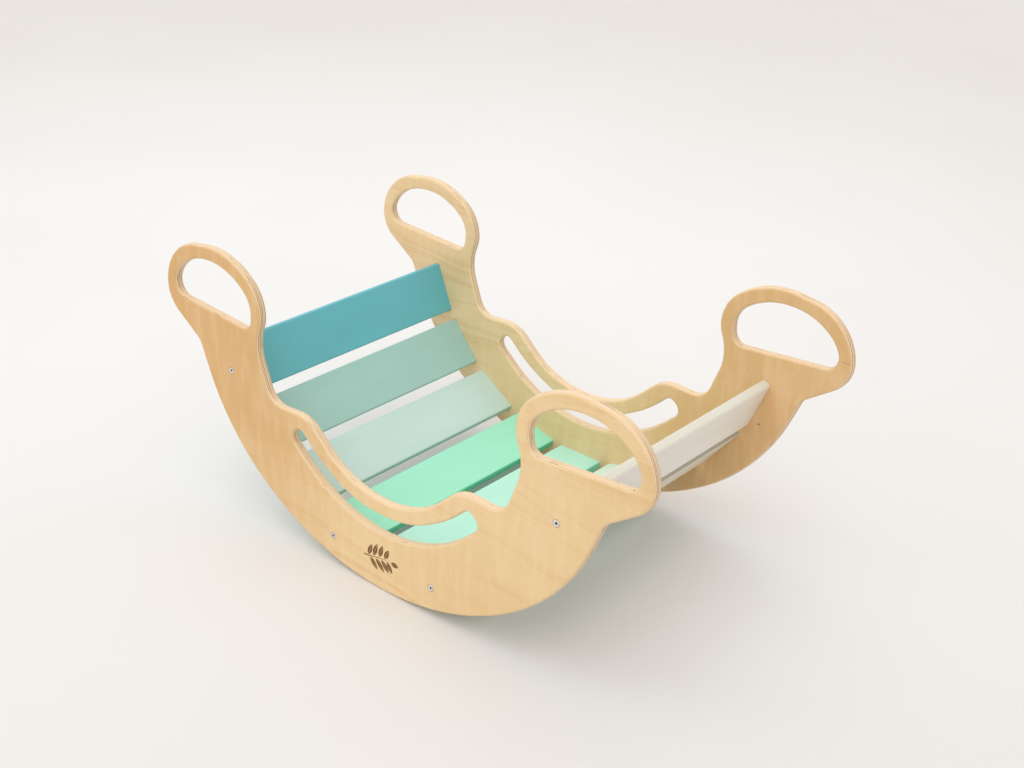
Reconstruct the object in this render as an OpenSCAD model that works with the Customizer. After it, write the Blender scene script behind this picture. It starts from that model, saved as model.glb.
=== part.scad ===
// Rocking seesaw for small children: two curved plywood side panels joined by nine painted slats.
// The slat ends sit in shallow housings cut in the panels. Four slats are also screwed at each end.
// Origin: on the floor under the middle of the rocker. X runs along the rocker, Y across it, Z is up.
// "Front" is the -Y side.

/* [Side panels] */
// Outside width across both side panels
overall_w = 490; // [400:5:600]
// Thickness of a side panel's plywood
panel_t = 15; // [12:1:18]

/* [Slats] */
// Width of a slat, along the curve of the seat
slat_w = 86; // [60:1:90]
// Thickness of a slat
slat_t = 15; // [13:1:18]
// Radius of a slat's rounded long edges
slat_edge_r = 3; // [1:0.5:5]
// Radius of the circle that the slats' seat faces touch
seat_r = 343; // [336:1:350]
// Height of that circle's centre above the floor
seat_centre_z = 386; // [380:1:392]
// Angle from one slat to the next, in degrees
slat_pitch = 17; // [16.5:0.1:17]
// Depth of the housing in a panel that holds a slat's end
housing_depth = 5; // [3:0.5:7]

/* [Screws] */
// Outer diameter of a furniture screw's shoulder and thread
screw_d = 7; // [5:0.5:8]
// Length of a furniture screw, from the head's face to the tip
screw_l = 50; // [40:5:70]
// Diameter of a screw's head
head_d = 10; // [9:0.5:12]
// Width across flats of the hexagonal socket in a screw's head
socket_af = 4; // [3:0.5:5]

/* [Hidden] */
// Number of slats, the one at the bottom of the seat, and those that are screwed to the panels
slat_count = 9;
middle_slat = (slat_count + 1) / 2;
screwed = [1, 4, 6, 9];

// Derived places across the rocker
outer_y = overall_w / 2;
inner_y = outer_y - panel_t;
slat_l = 2 * (inner_y + housing_depth);
// Clearance of a slat's end in its housing, and of a screw in its holes
housing_gap = 0.2;
screw_gap = 0.05;

// Screw details: head, countersink, thread and tip
head_h = 1.5;
countersink_h = 1.5;
socket_depth = 2.5;
shoulder_l = 9;
thread_pitch = 3;
thread_depth = 1;
tip_l = 4;
hole_margin = 2;

// Largest gap between a rounded corner's true arc and its chords
arc_error = 0.05;
bore_fn = 48;
cut = 1;

// Colours of the panels, the screws, and the slats from left to right
wood = "#e3bf8c";
zinc = "#c9ccce";
paint = ["#5fa9b1", "#9cc4b6", "#c2dccf", "#a3edc6", "#b9efd4", "#d2f0df", "#dcefe2", "#e6ece2", "#ebe8dc"];

// Outlines as corner points [x, z, radius of the rounded corner]. The first outline and the finger slot
// are the +X halves of shapes that are symmetrical about x = 0.
panel_half = [
    [141, 0, 444],   // rocking edge
    [343, 142, 360], // rising end of the rocker
    [401, 283, 21],  // notch under the handle
    [478, 336, 54],  // handle: outer end
    [472, 371, 88],
    [461, 433, 86],
    [326, 453, 131], // handle: top
    [252, 403, 69],
    [249, 357, 52],  // handle: inner end
    [266, 315, 82],  // neck
    [234, 229, 33],  // inner corner at the seat's rim
    [154, 233, 54],  // hump of the rim
    [92, 177, 141],  // low middle of the rim
    [35, 154, 178]
];
finger_slot_half = [
    [92, 99, 244],
    [196, 190, 15],
    [171, 210, 12],
    [130, 172, 229],
    [55, 130, 174]
];
handle_hole = [
    [459, 349, 21],
    [443, 389, 58],
    [406, 422, 100],
    [322, 426, 112],
    [271, 383, 42],
    [276, 336, 18]
];

// Angle of a slat about the seat's centre line, zero at the bottom
function slat_angle(i) = (i - middle_slat) * slat_pitch;

function unit(v) = v / norm(v);
function flat(p) = [p[0], p[1]];
function mirrored(pts) = [for (i = [len(pts) - 1:-1:0]) [-pts[i][0], pts[i][1], pts[i][2]]];
function both_halves(pts) = concat(pts, mirrored(pts));

// Points along the arc that rounds the corner at p, between its neighbours p_in and p_out
function corner(p_in, p, p_out) =
    let (
        a = unit(flat(p_in) - flat(p)),
        b = unit(flat(p_out) - flat(p)),
        half = acos(a * b) / 2,
        r = p[2],
        centre = flat(p) + unit(a + b) * r / sin(half),
        from = flat(p) + a * r / tan(half) - centre,
        turn = (180 - 2 * half) * (cross(a, b) < 0 ? 1 : -1),
        steps = ceil(abs(turn) / (2 * acos(1 - arc_error / r))),
        start = atan2(from[1], from[0])
    )
    [for (k = [0:steps]) centre + r * [cos(start + turn * k / steps), sin(start + turn * k / steps)]];

// The whole outline: every corner's arc in turn, joined by straight lines
function rounded(pts) =
    let (n = len(pts))
    [for (i = [0:n - 1]) each corner(pts[(i + n - 1) % n], pts[i], pts[(i + 1) % n])];

// Stands an outline drawn in x and z upright and extrudes it across the rocker, from y to y + depth
module upright(y, depth) {
    translate([0, y + depth, 0])
        rotate([90, 0, 0])
            linear_extrude(depth)
                children();
}

// Turns something made at the bottom of the seat's circle to the place of slat i
module at_slat(i) {
    translate([0, 0, seat_centre_z])
        rotate([0, -slat_angle(i), 0])
            translate([0, 0, -seat_r - slat_t / 2])
                children();
}

// One slat's bar, larger all round by gap, lying at the bottom of the seat's circle
module slat_bar(gap = 0) {
    x = slat_w / 2 + gap;
    z = slat_t / 2 + gap;
    r = slat_edge_r + gap;
    upright(-slat_l / 2, slat_l)
        polygon(rounded([[x, z, r], [-x, z, r], [-x, -z, r], [x, -z, r]]));
}

// A round hole along Y from the outer face at the front, diameter d, from y = -outer_y inwards
module front_bore(d, depth) {
    translate([0, -outer_y - cut, 0])
        rotate([-90, 0, 0])
            cylinder(d = d, h = depth + cut, $fn = bore_fn);
}

module front_panel_solid() {
    difference() {
        upright(-outer_y, panel_t)
            difference() {
                polygon(rounded(both_halves(panel_half)));
                polygon(rounded(both_halves(finger_slot_half)));
                polygon(rounded(handle_hole));
                polygon(rounded(mirrored(handle_hole)));
            }
        for (i = [1:slat_count])
            at_slat(i) slat_bar(housing_gap);
        for (i = screwed)
            at_slat(i) {
                front_bore(screw_d + 2 * screw_gap, panel_t);
                front_bore(head_d + 2 * screw_gap, head_h);
                front_countersink();
            }
    }
}

// Cone under the head's cylinder, down to the shank's diameter
module front_countersink() {
    translate([0, -outer_y + head_h, 0])
        rotate([-90, 0, 0])
            cylinder(
                d1 = head_d + 2 * screw_gap,
                d2 = screw_d + 2 * screw_gap,
                h = countersink_h,
                $fn = bore_fn
            );
}

// A slat; a screwed one has a blind hole in each end
module slat_solid(i) {
    at_slat(i)
        difference() {
            slat_bar();
            if (len(search(i, screwed)) > 0)
                for (side = [0, 1])
                    mirror([0, side, 0])
                        front_bore(screw_d + 2 * screw_gap, screw_l + hole_margin);
        }
}

// Half section of a screw: radius against distance from the head's face
function screw_section() =
    let (
        r = screw_d / 2,
        first = head_h + countersink_h + shoulder_l,
        last = screw_l - tip_l,
        turns = floor((last - first) / thread_pitch)
    )
    concat(
        [[0, 0], [head_d / 2, 0], [head_d / 2, head_h], [r, head_h + countersink_h], [r, first]],
        [for (k = [0:turns - 1], s = [0, 1])
            [r - (s == 0 ? thread_depth : 0), first + thread_pitch * (k + (s + 1) / 2)]],
        [[r - thread_depth, last], [0.5, screw_l], [0, screw_l]]
    );

// A furniture screw in the front end of slat i, its head flush with the panel's face
module front_screw(i) {
    at_slat(i)
        translate([0, -outer_y, 0])
            rotate([-90, 0, 0])
                difference() {
                    rotate_extrude($fn = bore_fn) polygon(screw_section());
                    translate([0, 0, -cut])
                        linear_extrude(socket_depth + cut)
                            circle(d = socket_af / cos(30), $fn = 6);
                }
}

module side_panel_front() {
    color(wood) front_panel_solid();
}

module side_panel_back() {
    color(wood) mirror([0, 1, 0]) front_panel_solid();
}

module slat(i) {
    color(paint[i - 1]) slat_solid(i);
}

module screw_front(i) {
    color(zinc) front_screw(i);
}

module screw_back(i) {
    color(zinc) mirror([0, 1, 0]) front_screw(i);
}

side_panel_front();
side_panel_back();
for (i = [1:slat_count])
    slat(i);
for (i = screwed) {
    screw_front(i);
    screw_back(i);
}
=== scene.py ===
"""A child's rocking seesaw: two birch plywood side panels, nine painted slats and eight furniture screws."""

import math

import bmesh
import bpy
from mathutils import Matrix, Vector


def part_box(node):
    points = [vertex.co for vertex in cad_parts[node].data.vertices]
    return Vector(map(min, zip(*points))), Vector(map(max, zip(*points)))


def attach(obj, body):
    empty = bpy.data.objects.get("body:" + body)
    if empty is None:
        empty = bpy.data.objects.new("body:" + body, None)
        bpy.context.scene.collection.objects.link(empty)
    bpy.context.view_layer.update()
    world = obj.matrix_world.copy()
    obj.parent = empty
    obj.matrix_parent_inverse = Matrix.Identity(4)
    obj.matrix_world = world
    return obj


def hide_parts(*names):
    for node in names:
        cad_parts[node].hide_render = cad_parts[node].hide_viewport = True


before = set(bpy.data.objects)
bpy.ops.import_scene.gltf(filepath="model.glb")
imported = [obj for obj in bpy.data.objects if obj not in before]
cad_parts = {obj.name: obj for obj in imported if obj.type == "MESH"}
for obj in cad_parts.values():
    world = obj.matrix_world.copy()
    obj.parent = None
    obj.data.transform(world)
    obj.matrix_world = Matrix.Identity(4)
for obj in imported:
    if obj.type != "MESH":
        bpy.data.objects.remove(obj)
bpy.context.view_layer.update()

BODY = "root"
PANELS = ("side_panel_front", "side_panel_back")
SLATS = [f"slat_{i}" for i in range(1, 10)]
SCREWS = [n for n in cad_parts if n.startswith("screw_")]

# Camera: where it looks from, in degrees round the object and above the horizon, and how far away
CAMERA_AZIMUTH = 40.1
CAMERA_ELEVATION = 26.25
CAMERA_ROLL = 1.78
CAMERA_DISTANCE = 2.178
CAMERA_LENS = 50.55
CAMERA_FILM_W = 36
CAMERA_AIM = Vector((0.0372, 0, 0.2689))

# Rounded edges: their radii, and the steps that each is made in
PANEL_EDGE_R = 0.0045
PANEL_EDGE_STEPS = 6
SLAT_END_R = 0.0008
SLAT_END_STEPS = 3

# Vertices this near each other are one, and a vertex this near to a piece's flat end is on it
TOUCH = 1e-6
FLUSH = 1e-5

PLY_COUNT = 11

# Colours. srgb() turns them into the linear values that Blender's sockets take
BIRCH = "#ecce9d"
BIRCH_PALE = "#fae3bf"
BIRCH_DEEP = "#d7aa6e"
GLUE_LINE = "#8a5c35"
END_GRAIN = "#a4714a"
PLY_GAP = "#7d4f30"
KNOT = "#5c3018"
BURNT = "#8a6034"
BURNT_DEEP = "#5a3818"
ZINC = "#f2f3f4"
ZINC_DULL = "#d0d3d6"
SOCKET_SHADE = "#141416"

# Each slat's paint on its faces, and the colour of its long edges, which where it differs is darker: painted
# shade for the edges in the gaps between slats
PAINT_AND_EDGE_SHADE = (
    ("#67b9c5", "#67b9c5"),
    ("#a3cbc4", "#a3cbc4"),
    ("#c4ddd7", "#bedbd2"),
    ("#a2ebcd", "#73e5ba"),
    ("#b9efdc", "#9bf1d6"),
    ("#d9f2e4", "#c4f0da"),
    ("#dde9dd", "#d4e6d6"),
    ("#dfd6c3", "#b4ae9f"),
    ("#eee8de", "#dddacd"),
)


def srgb(text):
    """A colour given as #rrggbb, as linear red, green, blue and alpha."""
    parts = [int(text[i : i + 2], 16) / 255 for i in (1, 3, 5)]
    return (*[c / 12.92 if c <= 0.04045 else ((c + 0.055) / 1.055) ** 2.4 for c in parts], 1.0)


def middle_of(node):
    low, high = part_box(node)
    return (low + high) / 2


# ---------------------------------------------------------------- shader nodes


class Graph:
    """A material's nodes, made by short calls. A value may be a number, a colour or another node's output."""

    def __init__(self, name):
        self.material = bpy.data.materials.new(name)
        self.material.use_nodes = True
        self.tree = self.material.node_tree
        self.shader = self.tree.nodes["Principled BSDF"]

    def node(self, kind, inputs, **settings):
        made = self.tree.nodes.new(kind)
        for key, value in settings.items():
            setattr(made, key, value)
        for key, value in inputs.items():
            self.feed(made.inputs[key], value)
        return made

    def feed(self, socket, value):
        if isinstance(value, bpy.types.NodeSocket):
            self.tree.links.new(value, socket)
        else:
            socket.default_value = value

    def set(self, **values):
        """Sets the shader's own sockets; underscores in a name stand for spaces."""
        for key, value in values.items():
            self.feed(self.shader.inputs[key.replace("_", " ")], value)

    def math(self, operation, *values, clamp=False):
        inputs = dict(enumerate(values))
        return self.node("ShaderNodeMath", inputs, operation=operation, use_clamp=clamp).outputs[0]

    def product(self, first, *others):
        for other in others:
            first = self.math("MULTIPLY", first, other)
        return first

    def total(self, a, b):
        return self.math("ADD", a, b)

    def less(self, a, b):
        return self.math("SUBTRACT", a, b)

    def remap(self, value, low, high, to_low=0.0, to_high=1.0):
        """Value from low..high to to_low..to_high, smooth and clamped."""
        inputs = {"Value": value, "From Min": low, "From Max": high, "To Min": to_low, "To Max": to_high}
        return self.node("ShaderNodeMapRange", inputs, interpolation_type="SMOOTHSTEP").outputs[0]

    def mix(self, factor, a, b, blend="MIX"):
        made = self.node("ShaderNodeMix", {}, data_type="RGBA", blend_type=blend)
        for socket, value in ((made.inputs[0], factor), (made.inputs[6], a), (made.inputs[7], b)):
            self.feed(socket, value)
        return made.outputs[2]

    def place(self):
        """The point on the piece, in metres in the frame."""
        return self.node("ShaderNodeTexCoord", {}).outputs["Object"]

    def facing(self):
        """The way that the surface faces there, as a unit vector."""
        return self.node("ShaderNodeTexCoord", {}).outputs["Normal"]

    def split(self, vector):
        return self.node("ShaderNodeSeparateXYZ", {"Vector": vector}).outputs

    def join(self, x, y, z):
        return self.node("ShaderNodeCombineXYZ", {"X": x, "Y": y, "Z": z}).outputs[0]

    def vector_math(self, operation, *vectors):
        return self.node("ShaderNodeVectorMath", dict(enumerate(vectors)), operation=operation).outputs

    def stretch(self, vector, x, y, z):
        """The vector scaled along each axis, so that noise of scale 1 has x, y and z features per metre."""
        return self.vector_math("MULTIPLY", vector, (x, y, z))["Vector"]

    def from_point(self, vector, point):
        return self.vector_math("SUBTRACT", vector, tuple(point))["Vector"]

    def length(self, vector):
        return self.vector_math("LENGTH", vector)["Value"]

    def reach(self, vector, direction):
        """How far the vector reaches in this direction."""
        return self.vector_math("DOT_PRODUCT", vector, direction)["Value"]

    def noise(self, vector, detail=2.0, roughness=0.5, distortion=0.0):
        inputs = {
            "Vector": vector,
            "Scale": 1.0,
            "Detail": detail,
            "Roughness": roughness,
            "Distortion": distortion,
        }
        return self.node("ShaderNodeTexNoise", inputs).outputs["Fac"]

    def bump(self, height, distance):
        return self.node("ShaderNodeBump", {"Height": height, "Distance": distance}).outputs["Normal"]


# --------------------------------------------------------------- birch plywood

# Small dark flecks in the plywood: their width, and where each is, its length along X and how dark it is
FLECK_W = 0.0011
FLECKS = (
    (Vector((0.441, -0.2422, 0.3496)), 0.005, 0.95),
    (Vector((0.335, 0.230, 0.2215)), 0.005, 0.95),
    (Vector((0.4635, 0.230, 0.3665)), 0.022, 0.26),
)

# The dark ring round a screw head, crushed veneer with painted shade from the gap round the head: how far
# from the head it begins to fade, and where it ends
CRUSHED_AND_SHADE_FULL = 0.0002
CRUSHED_AND_SHADE_W = 0.0016


def birch_ply():
    """Birch plywood: rotary-cut face veneer with its grain along X, and crossed plies on the cut edges."""
    g = Graph("birch_ply")
    x, y, z = g.split(g.place())
    inner, outer = (corner.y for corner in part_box("side_panel_back"))
    ply = (outer - inner) / PLY_COUNT

    # Depth from the panel's inner face, counted in plies, and which ply that is. Side is -1 in the front
    # panel and 1 in the back one.
    layers = g.math("DIVIDE", g.less(g.math("ABSOLUTE", y), inner), ply)
    index = g.math("MINIMUM", g.math("MAXIMUM", g.math("FLOOR", layers), 0.0), PLY_COUNT - 1.0)
    side = g.math("SIGN", y)

    colour, fibre, pores = birch_veneer(g, x, z, index, side)
    colour, glue, gaps = birch_edges(g, x, z, layers, index, colour)
    colour = crushed_and_shaded_rings(g, x, z, colour)
    colour = flecked(g, colour)

    # Fibres stand a little proud, and pores, glue lines and gaps lie low
    relief = g.total(g.product(fibre, 0.6), g.product(g.less(1.0, pores), 0.4))
    relief = g.less(g.less(relief, g.product(glue, 0.5)), gaps)
    g.set(Base_Color=colour, Roughness=g.remap(fibre, 0.25, 0.75, 0.40, 0.52), Normal=g.bump(relief, 0.00004))
    g.set(Specular_IOR_Level=0.4)
    return g.material


def birch_veneer(g, x, z, index, side):
    """The colour of a ply's face, and the fibres and pores in it."""
    # Every ply has its own stretch of wood
    shift = g.product(g.total(index, g.product(side, 3.7)), 1.31)
    sample = g.join(x, shift, z)
    broad = g.noise(g.stretch(sample, 2.2, 1, 5))
    waver = g.noise(g.stretch(sample, 2.6, 1, 7))
    wavy = g.total(g.product(z, 70.0), g.product(waver, 8.0))
    rings = g.noise(g.join(g.product(x, 1.5), shift, wavy), detail=3, roughness=0.65)
    fibre = g.noise(g.stretch(sample, 14, 1, 900), detail=3, roughness=0.65)
    ripple = g.noise(g.stretch(sample, 55, 1, 11), roughness=0.6, distortion=0.4)
    pores = g.remap(g.noise(g.stretch(sample, 110, 1, 2300), detail=1), 0.70, 0.80)

    # One end of each sheet is painted deeper than the other, as painted shade: the front one's at -X, the
    # back one's at +X
    lean = g.remap(g.product(x, side), 0.0, 0.28)
    deepest_shade = g.total(0.88, g.product(side, 0.08))
    varied = g.remap(broad, 0.34, 0.66, -0.16, 0.20)
    tone = g.math("ADD", g.product(lean, deepest_shade), varied, clamp=True)
    colour = g.mix(tone, srgb(BIRCH), srgb(BIRCH_DEEP))

    # Growth rings, which show more on the back sheet, then fibres, pale ripples across the grain, and pores
    figured = g.total(0.95, g.product(side, 0.25))
    streaks = g.product(g.remap(rings, 0.46, 0.72, 0.0, 0.50), figured)
    colour = g.mix(streaks, colour, srgb(BIRCH_DEEP))
    colour = g.mix(g.remap(fibre, 0.3, 0.7, 0.0, 0.16), colour, srgb(BIRCH_DEEP))
    colour = g.mix(g.remap(ripple, 0.38, 0.66, 0.0, 0.15), colour, srgb(BIRCH_PALE))
    colour = g.mix(g.product(pores, 0.14), colour, srgb(END_GRAIN))

    # The back sheet is painted a little paler than the front one: painted light, standing in for light
    # bounced onto it from the slats
    back = g.math("GREATER_THAN", side, 0.0)
    return g.mix(g.product(back, 0.14), colour, srgb(BIRCH_PALE)), fibre, pores


def birch_edges(g, x, z, layers, index, colour):
    """The colour with the look of cut edges added to it, and the glue lines and gaps between the plies."""
    # Cut edges are painted pale, as a painted highlight
    facing = g.split(g.facing())
    along = g.product(facing[0], facing[0])
    up = g.product(facing[2], facing[2])
    edge = g.remap(g.total(along, up), 0.1, 0.7)
    colour = g.mix(g.product(edge, 0.75), colour, srgb(BIRCH_PALE))

    # A ply is darker where its fibres end at the surface. Even plies have their grain along X, the others
    # along Z.
    crossed = g.math("MODULO", index, 2.0)
    end_x = g.product(g.less(1.0, crossed), g.remap(along, 0.1, 0.8, 0.0, 0.95))
    end_z = g.product(crossed, g.remap(up, 0.1, 0.8, 0.0, 0.40))
    uneven = g.node("ShaderNodeTexWhiteNoise", {"W": index}, noise_dimensions="1D").outputs["Value"]
    ends = g.product(g.total(end_x, end_z), g.remap(uneven, 0.0, 1.0, 0.45, 1.0))
    cells = g.remap(g.noise(g.stretch(g.place(), 900, 900, 900)), 0.2, 0.8, 0.7, 1.0)
    colour = g.mix(g.product(ends, cells), colour, srgb(END_GRAIN))

    # Glue lines part the plies
    line = g.math("ROUND", layers)
    nearest = g.math("ABSOLUTE", g.less(layers, line))
    below_top = g.math("LESS_THAN", layers, PLY_COUNT - 0.5)
    inside = g.product(g.math("GREATER_THAN", layers, 0.5), below_top)
    glue = g.product(g.remap(nearest, 0.05, 0.16, 1.0, 0.0), inside)
    colour = g.mix(g.product(glue, 0.46), colour, srgb(GLUE_LINE))

    # Short dark gaps follow the glue lines here and there
    dashes = g.noise(g.join(g.product(x, 30.0), g.product(line, 2.3), g.product(z, 30.0)), detail=1)
    gaps = g.product(g.remap(dashes, 0.66, 0.70), g.remap(nearest, 0.20, 0.40, 1.0, 0.0), inside, edge)
    return g.mix(g.product(gaps, 0.7), colour, srgb(PLY_GAP)), glue, gaps


def crushed_and_shaded_rings(g, x, z, colour):
    """The colour, darker in a thin ring round every screw head: crushed veneer, and painted shade in the gap
    round the head. Both panels have their screws at the same x and z."""
    for node in [n for n in SCREWS if n.startswith("screw_front")]:
        low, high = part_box(node)
        head_r = (high.x - low.x) / 2
        middle = middle_of(node)
        away = g.length(g.join(g.less(x, middle.x), 0.0, g.less(z, middle.z)))
        # Dark ring: crushed veneer and painted shade round the head
        ring = g.remap(away, head_r + CRUSHED_AND_SHADE_FULL, head_r + CRUSHED_AND_SHADE_W, 0.72, 0.0)
        colour = g.mix(ring, colour, srgb(PLY_GAP))
    return colour


def flecked(g, colour):
    """The colour with the dark flecks, which lie along the grain."""
    for middle, length, strength in FLECKS:
        away = g.stretch(g.from_point(g.place(), middle), 2 / length, 1 / FLECK_W, 1 / FLECK_W)
        colour = g.mix(g.remap(g.length(away), 0.6, 1.2, strength, 0.0), colour, srgb(KNOT))
    return colour


def burnt_birch():
    """The scorched floor and sides of the mark that is burnt into the front panel."""
    g = Graph("burnt_birch")
    char = g.noise(g.stretch(g.place(), 500, 500, 1400), detail=3, roughness=0.6)
    g.set(Base_Color=g.mix(g.remap(char, 0.35, 0.65), srgb(BURNT), srgb(BURNT_DEEP)))
    g.set(Roughness=g.remap(char, 0.3, 0.7, 0.65, 0.85), Normal=g.bump(char, 0.0001))
    return g.material


# -------------------------------------------------------------- paint and zinc

# What a thick place in a coat of paint multiplies its colour by
THICK_COAT = (0.93, 0.93, 0.93, 1.0)


def painted_wood(name, colours, tilt, seed):
    """Satin paint on a planed board whose grain runs along Y and shows faintly through it. Colours are those
    of its faces and of its long edges, whose darker colour is painted shade, and tilt is the angle about Y
    that it is turned by from lying flat."""
    g = Graph(name)
    place = g.place()
    x, y, z = g.split(place)
    sample = g.join(x, g.total(y, seed * 1.7), z)
    grain = g.noise(g.stretch(sample, 420, 9, 420), detail=3, roughness=0.6)
    coat = g.noise(g.stretch(sample, 24, 6, 24))
    orange_peel = g.noise(g.stretch(sample, 900, 700, 900), detail=1)
    # Mask of the long edges, which get their own darker colour as painted shade
    painted_edge_shade = g.math("ABSOLUTE", g.reach(g.facing(), (math.cos(tilt), 0, math.sin(tilt))))
    face, edge = colours
    paint = g.mix(g.remap(painted_edge_shade, 0.5, 0.9), srgb(face), srgb(edge))
    for variation in (g.remap(coat, 0.3, 0.7, 0.0, 0.5), g.remap(grain, 0.3, 0.75, 0.0, 0.3)):
        paint = g.mix(variation, paint, THICK_COAT, blend="MULTIPLY")
    relief = g.total(g.product(grain, 0.8), g.product(orange_peel, 0.2))
    g.set(Base_Color=paint, Roughness=g.remap(coat, 0.3, 0.7, 0.38, 0.48), Normal=g.bump(relief, 0.000022))
    g.set(Specular_IOR_Level=0.4)
    return g.material


def zinc_plate():
    """Bright zinc plating with a fine turned texture, dulled in patches, with painted shade darkening it deep
    in the socket.
    """
    g = Graph("zinc_screw")
    place = g.place()
    x, y, z = g.split(place)
    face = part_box("side_panel_back")[1].y
    # Painted shade: the plating darkens with depth into the socket
    painted_socket_shade = g.remap(g.less(face, g.math("ABSOLUTE", y)), 0.0003, 0.0016)
    blotch = g.noise(g.stretch(place, 300, 300, 300))
    turned = g.noise(g.stretch(place, 2500, 600, 2500))
    plate = g.mix(g.remap(blotch, 0.3, 0.7), srgb(ZINC), srgb(ZINC_DULL))
    g.set(Base_Color=g.mix(painted_socket_shade, plate, srgb(SOCKET_SHADE)), Metallic=0.7)
    g.set(Roughness=g.remap(blotch, 0.3, 0.7, 0.30, 0.46), Normal=g.bump(turned, 0.00001))
    return g.material


# ------------------------------------------------------------- panels and slats


def ordered_loops(edges):
    """The closed loops that these edges make, each as its vertices in order."""
    nexts = {}
    for e in edges:
        a, b = e.verts
        nexts.setdefault(a, []).append(b)
        nexts.setdefault(b, []).append(a)
    loops, seen = [], set()
    for start in nexts:
        if start in seen:
            continue
        loop, here, before = [], start, None
        while here not in seen:
            seen.add(here)
            loop.append(here)
            here, before = next(v for v in nexts[here] if v is not before), here
        loops.append(loop)
    return loops


def signed_area(points):
    return sum(a.x * b.y - b.x * a.y for a, b in zip(points, points[1:] + points[:1])) / 2


def outward_normals(points):
    """For each corner of a closed outline that runs anticlockwise: the unit normal that shading uses,
    weighted by the edges' lengths, and the vector that moves the corner out when both its edges move out
    by 1."""
    found = []
    for i, p in enumerate(points):
        before, after = p - points[i - 1], points[(i + 1) % len(points)] - p
        n1, n2 = (Vector((e.y, -e.x)).normalized() for e in (before, after))
        smooth = (n1 * before.length + n2 * after.length).normalized()
        found.append((smooth, (n1 + n2) / (1 + n1.dot(n2))))
    return found


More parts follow.
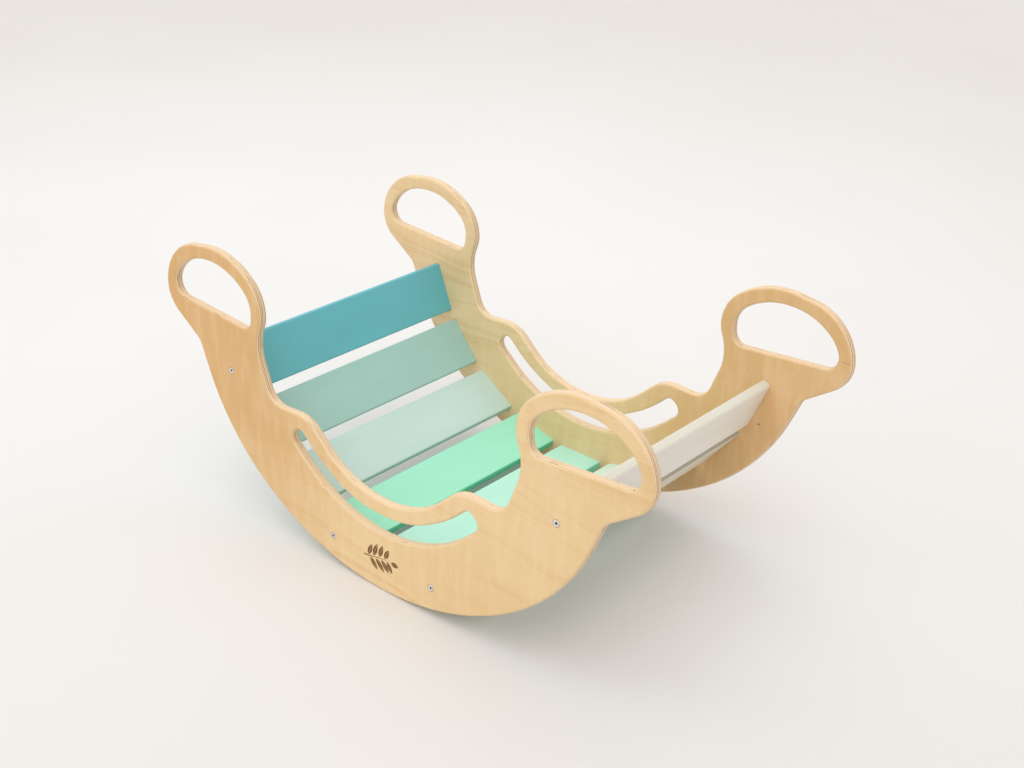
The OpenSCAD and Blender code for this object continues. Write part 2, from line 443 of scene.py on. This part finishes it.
class Prism:
    """A CAD node that is an outline drawn in x and z and extruded along y, with pockets and bores in its
    ends. The copy keeps the pockets and bores, and gets rounded edges round its outline and through holes."""

    def __init__(self, node, edge_radius, steps):
        self.node, self.edge_radius, self.steps = node, edge_radius, steps
        low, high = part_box(node)
        self.low, self.high = low.y, high.y
        self.bm = bmesh.new()
        self.bm.from_mesh(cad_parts[node].data)
        bmesh.ops.remove_doubles(self.bm, verts=self.bm.verts, dist=TOUCH)
        self.normal = self.bm.verts.layers.float_vector.new("rounding")
        self.rounded = self.bm.faces.layers.int.new("rounded")
        self.burnt = self.bm.faces.layers.int.new("burnt")
        outlines = self.strip()
        largest = max(outlines, key=lambda o: abs(signed_area(o)))
        for outline in outlines:
            self.round_over(outline, outline is largest)

    def all_on(self, verts, *ends):
        """Whether every vertex lies in one of the flat ends, at these y."""
        return all(any(abs(v.co.y - y) < FLUSH for y in ends) for v in verts)

    def strip(self):
        """Takes away the flat ends and the walls between them. Returns the outlines that they followed."""
        ends = (self.low, self.high)
        flats = [f for f in self.bm.faces if any(self.all_on(f.verts, y) for y in ends)]
        flat_set = set(flats)
        walls = [f for f in self.bm.faces if f not in flat_set and self.all_on(f.verts, *ends)]
        edges = {e for f in walls for e in f.edges if self.all_on(e.verts, self.low)}
        outlines = [[Vector((v.co.x, v.co.z)) for v in loop] for loop in ordered_loops(edges)]
        bmesh.ops.delete(self.bm, geom=flats + walls, context="FACES")
        return outlines

    def edge_rings(self):
        """The rings of vertices from end to end: each ring's y, how far it is set in from the outline, and
        how far its normals point along y and out of the outline."""
        r = self.edge_radius
        quarter = [math.pi / 2 * k / self.steps for k in range(self.steps + 1)]
        near, far = [], []
        for angle in quarter:
            cos = math.cos(angle)
            sin = math.sin(angle)
            near.append((self.low + r * (1 - cos), r * (1 - sin), -cos, sin))
            far.append((self.high - r * (1 - cos), r * (1 - sin), cos, sin))
        return near + far[::-1]

    def round_over(self, outline, outer):
        """Builds the wall along one outline, rounded at both ends."""
        points = outline if signed_area(outline) > 0 else outline[::-1]
        side = 1 if outer else -1
        normals = [(n * side, m * side) for n, m in outward_normals(points)]
        made = []
        for y, inset, lean, spread in self.edge_rings():
            ring = []
            for p, (n, move) in zip(points, normals):
                at = p - move * inset
                vertex = self.bm.verts.new((at.x, y, at.y))
                vertex[self.normal] = Vector((n.x * spread, lean, n.y * spread))
                ring.append(vertex)
            made.append(ring)
        count = len(points)
        for ring, after in zip(made, made[1:]):
            for i in range(count):
                j = (i + 1) % count
                face = self.bm.faces.new((ring[i], ring[j], after[j], after[i]))
                face[self.rounded] = 1

    def engrave(self, shapes, depth):
        """Sinks closed shapes, lists of points in x and z, into the low end, with burnt sides and floors."""
        for shape in shapes:
            top = [self.bm.verts.new((p.x, self.low, p.y)) for p in shape]
            floor = [self.bm.verts.new((p.x, self.low + depth, p.y)) for p in shape]
            count = len(shape)
            for i in range(count):
                j = (i + 1) % count
                self.bm.faces.new((top[i], top[j], floor[j], floor[i]))[self.burnt] = 1
            self.bm.faces.new(floor)[self.burnt] = 1

    def cover(self, y):
        """Fills the flat end at y, round every pocket, bore and rim that opens into it."""
        edges = [e for e in self.bm.edges if e.is_boundary and self.all_on(e.verts, y)]
        bmesh.ops.triangle_fill(self.bm, use_beauty=True, use_dissolve=False, edges=edges, normal=(0, 1, 0))

    def shade(self, mesh):
        """Sets the mesh's normals: smooth round the rounded edges, flat everywhere else."""
        rounding = mesh.attributes["rounding"].data
        rounded = mesh.attributes["rounded"].data
        normals = [None] * len(mesh.loops)
        for polygon in mesh.polygons:
            for loop in polygon.loop_indices:
                vertex = mesh.loops[loop].vertex_index
                normals[loop] = rounding[vertex].vector if rounded[polygon.index].value else polygon.normal
        mesh.normals_split_custom_set([Vector(n) for n in normals])

    def finish(self, name, slot, *materials):
        """Closes the mesh, sets its normals and hands it over as a piece that stands for the CAD node."""
        for y in (self.low, self.high):
            self.cover(y)
        bmesh.ops.recalc_face_normals(self.bm, faces=self.bm.faces)
        for face in self.bm.faces:
            face.smooth = True
            face.material_index = face[self.burnt]
        mesh = bpy.data.meshes.new(name)
        self.bm.to_mesh(mesh)
        self.bm.free()
        self.shade(mesh)
        for layer in ("rounding", "rounded", "burnt"):
            mesh.attributes.remove(mesh.attributes[layer])
        for material in materials:
            mesh.materials.append(material)
        piece = bpy.data.objects.new(name, mesh)
        bpy.context.scene.collection.objects.link(piece)
        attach(piece, BODY)
        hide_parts(self.node)
        return piece


# ------------------------------------------------------------------ burnt mark

MARK_SIZE = 0.066
MARK_CENTRE = Vector((-0.002, 0.053))
MARK_DEPTH = 0.0003
STEM_STEPS = 24
LEAF_STEPS = 9
LEAF_PAIRS = 4
VEIN_W = 0.0005

# As shares of the mark's size: the stem's length, its half width, its bow, and how far off it a leaf begins
STEM_LENGTH = 0.84
STEM_HALF_W = 0.013
STEM_BOW = 0.06
LEAF_GAP = 0.034


def leaf_halves(base, angle, length, width):
    """The two halves of a pointed leaf that grows from base at this angle, with a bare vein between them."""
    direction = Vector((math.cos(angle), math.sin(angle)))
    across = Vector((-direction.y, direction.x))
    shares = [k / LEAF_STEPS for k in range(LEAF_STEPS + 1)]
    halves = []
    for side in (1, -1):
        rib = [base + direction * length * t + across * side * VEIN_W / 2 for t in shares]
        swells = [4 * t * (1 - t) * (1.25 - 0.5 * t) for t in shares]
        rim = [p + across * side * width / 2 * swell for p, swell in zip(rib, swells)]
        halves.append(rib + rim[-2:0:-1])
    return halves


def sprig(centre, size):
    """A plain leafy twig, as the outlines of its stem and leaves, about size wide."""

    def stem(t):
        return centre + Vector(((t - 0.5) * size, size * STEM_BOW * math.sin(math.pi * 1.2 * (t - 0.35))))

    def heading(t):
        slope = stem(t + 0.01) - stem(t - 0.01)
        return math.atan2(slope.y, slope.x)

    def stem_side(sign):
        """One side of the stem, which thins towards its tip."""
        shares = [k / STEM_STEPS for k in range(STEM_STEPS + 1)]
        return [stem(STEM_LENGTH * t) + Vector((0, sign * size * STEM_HALF_W * (1.2 - t))) for t in shares]

    shapes = [stem_side(-1) + stem_side(1)[::-1]]
    for k in range(LEAF_PAIRS):
        for side in (1, -1):
            t = 0.12 + 0.175 * k + (0.06 if side < 0 else 0)
            angle = heading(t) + side * math.radians(58)
            base = stem(t) + Vector((math.cos(angle), math.sin(angle))) * size * LEAF_GAP
            length = size * (0.27 + 0.11 * math.sin(math.pi * (k + 1) / (LEAF_PAIRS + 0.5)))
            shapes += leaf_halves(base, angle, length, size * 0.118)
    shapes += leaf_halves(stem(0.86), heading(0.86), size * 0.24, size * 0.12)
    return shapes


# ----------------------------------------------------- floor, lights and camera

FLOOR_R = 14.0
FLOOR_SIDES = 96
FLOOR_COLOUR = "#e5e4e3"
FLOOR_FALLOFF_AND_PATCH_COLOUR = "#d4d0cd"
FLOOR_PAINTED_LIGHT_CENTRE = Vector((-0.9, 0.5, 0))

# Soft boxes round the object: name, azimuth, elevation and strength
LIGHTS = (
    ("overhead", 0, 90, 0.46),
    ("left", -90, 45, 0.62),
    ("front", 0, 45, 0.78),
    ("front_right", 50, 45, 0.59),
    ("back", 170, 40, 0.17),
    ("low_back_right", 150, 12, 0.17),
    ("low_back_left", -150, 12, 0.50),
)
LIGHT_SPREAD = 65
WORLD_COLOUR = (1.0, 0.98, 0.95, 1.0)
WORLD_STRENGTH = 0.55


def floor_material():
    """Pale seamless paper with a painted pool of light: it is brightest behind the object's left end and
    darkens away from there as painted light falloff, with faint patches.
    """
    g = Graph("pale_floor")
    place = g.place()
    away = g.length(g.from_point(place, FLOOR_PAINTED_LIGHT_CENTRE))
    patches = g.noise(g.stretch(place, 1.5, 1.5, 1.5))
    # Painted light falloff with distance from the bright centre, plus faint random patches in the paper
    far = g.total(g.remap(away, 0.2, 3.2, 0.0, 0.9), g.remap(patches, 0.3, 0.7, 0.0, 0.1))
    g.set(Base_Color=g.mix(far, srgb(FLOOR_COLOUR), srgb(FLOOR_FALLOFF_AND_PATCH_COLOUR)))
    g.set(Roughness=0.9, Specular_IOR_Level=0.1)
    return g.material


def build_floor():
    mesh = bpy.data.meshes.new("floor")
    turn = [2 * math.pi * k / FLOOR_SIDES for k in range(FLOOR_SIDES)]
    rim = [(FLOOR_R * math.cos(a), FLOOR_R * math.sin(a), 0) for a in turn]
    mesh.from_pydata(rim, [], [list(range(FLOOR_SIDES))])
    mesh.materials.append(floor_material())
    floor = bpy.data.objects.new("floor", mesh)
    bpy.context.scene.collection.objects.link(floor)


def direction_from(azimuth, elevation):
    """The unit vector towards something that is seen at this azimuth and elevation, in degrees."""
    a, e = math.radians(azimuth), math.radians(elevation)
    return Vector((math.sin(a) * math.cos(e), -math.cos(a) * math.cos(e), math.sin(e)))


def soft_light(name, azimuth, elevation, strength):
    """A far light that fills LIGHT_SPREAD degrees of the sky. Azimuth and elevation are as the camera's."""
    data = bpy.data.lights.new(name, "SUN")
    data.angle = math.radians(LIGHT_SPREAD)
    data.energy = strength
    light = bpy.data.objects.new(name, data)
    light.rotation_euler = (-direction_from(azimuth, elevation)).to_track_quat("-Z", "Y").to_euler()
    bpy.context.scene.collection.objects.link(light)


def build_light():
    world = bpy.data.worlds.new("studio")
    world.use_nodes = True
    background = world.node_tree.nodes["Background"]
    background.inputs["Color"].default_value = WORLD_COLOUR
    background.inputs["Strength"].default_value = WORLD_STRENGTH
    bpy.context.scene.world = world
    for name, azimuth, elevation, strength in LIGHTS:
        soft_light(name, azimuth, elevation, strength)


def build_camera():
    data = bpy.data.cameras.new("camera")
    data.sensor_width = CAMERA_FILM_W
    data.lens = CAMERA_LENS
    camera = bpy.data.objects.new("camera", data)
    back = direction_from(CAMERA_AZIMUTH, CAMERA_ELEVATION)
    camera.location = CAMERA_AIM + back * CAMERA_DISTANCE
    level = (-back).to_track_quat("-Z", "Y").to_matrix()
    camera.rotation_euler = (level @ Matrix.Rotation(math.radians(CAMERA_ROLL), 3, "Z")).to_euler()
    bpy.context.scene.collection.objects.link(camera)
    bpy.context.scene.camera = camera


# ------------------------------------------------------------------------ build


def build_panels():
    birch, burnt = birch_ply(), burnt_birch()
    for node in PANELS:
        panel = Prism(node, PANEL_EDGE_R, PANEL_EDGE_STEPS)
        if node == "side_panel_front":
            panel.engrave(sprig(MARK_CENTRE, MARK_SIZE), MARK_DEPTH)
        panel.finish(f"{node}_plywood", "birch_ply", birch, burnt)


def seat_centre_height():
    """Height of the line, along Y over the origin, that every slat is equally far from."""
    end, bottom = middle_of(SLATS[0]), middle_of(SLATS[len(SLATS) // 2])
    return (end.x**2 + end.z**2 - bottom.z**2) / (2 * (end.z - bottom.z))


def build_slats():
    centre = seat_centre_height()
    for i, (node, colours) in enumerate(zip(SLATS, PAINT_AND_EDGE_SHADE)):
        slot = f"paint_{i + 1}"
        middle = middle_of(node)
        tilt = math.atan2(middle.x, centre - middle.z)
        material = painted_wood(slot, colours, tilt, i)
        Prism(node, SLAT_END_R, SLAT_END_STEPS).finish(f"{node}_board", slot, material)


def build_screws():
    material = zinc_plate()
    for node in SCREWS:
        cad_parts[node].material_slots[0].material = material


build_camera()
build_light()
build_floor()
build_panels()
build_slats()
build_screws()
bpy.context.scene.view_settings.view_transform = "Standard"
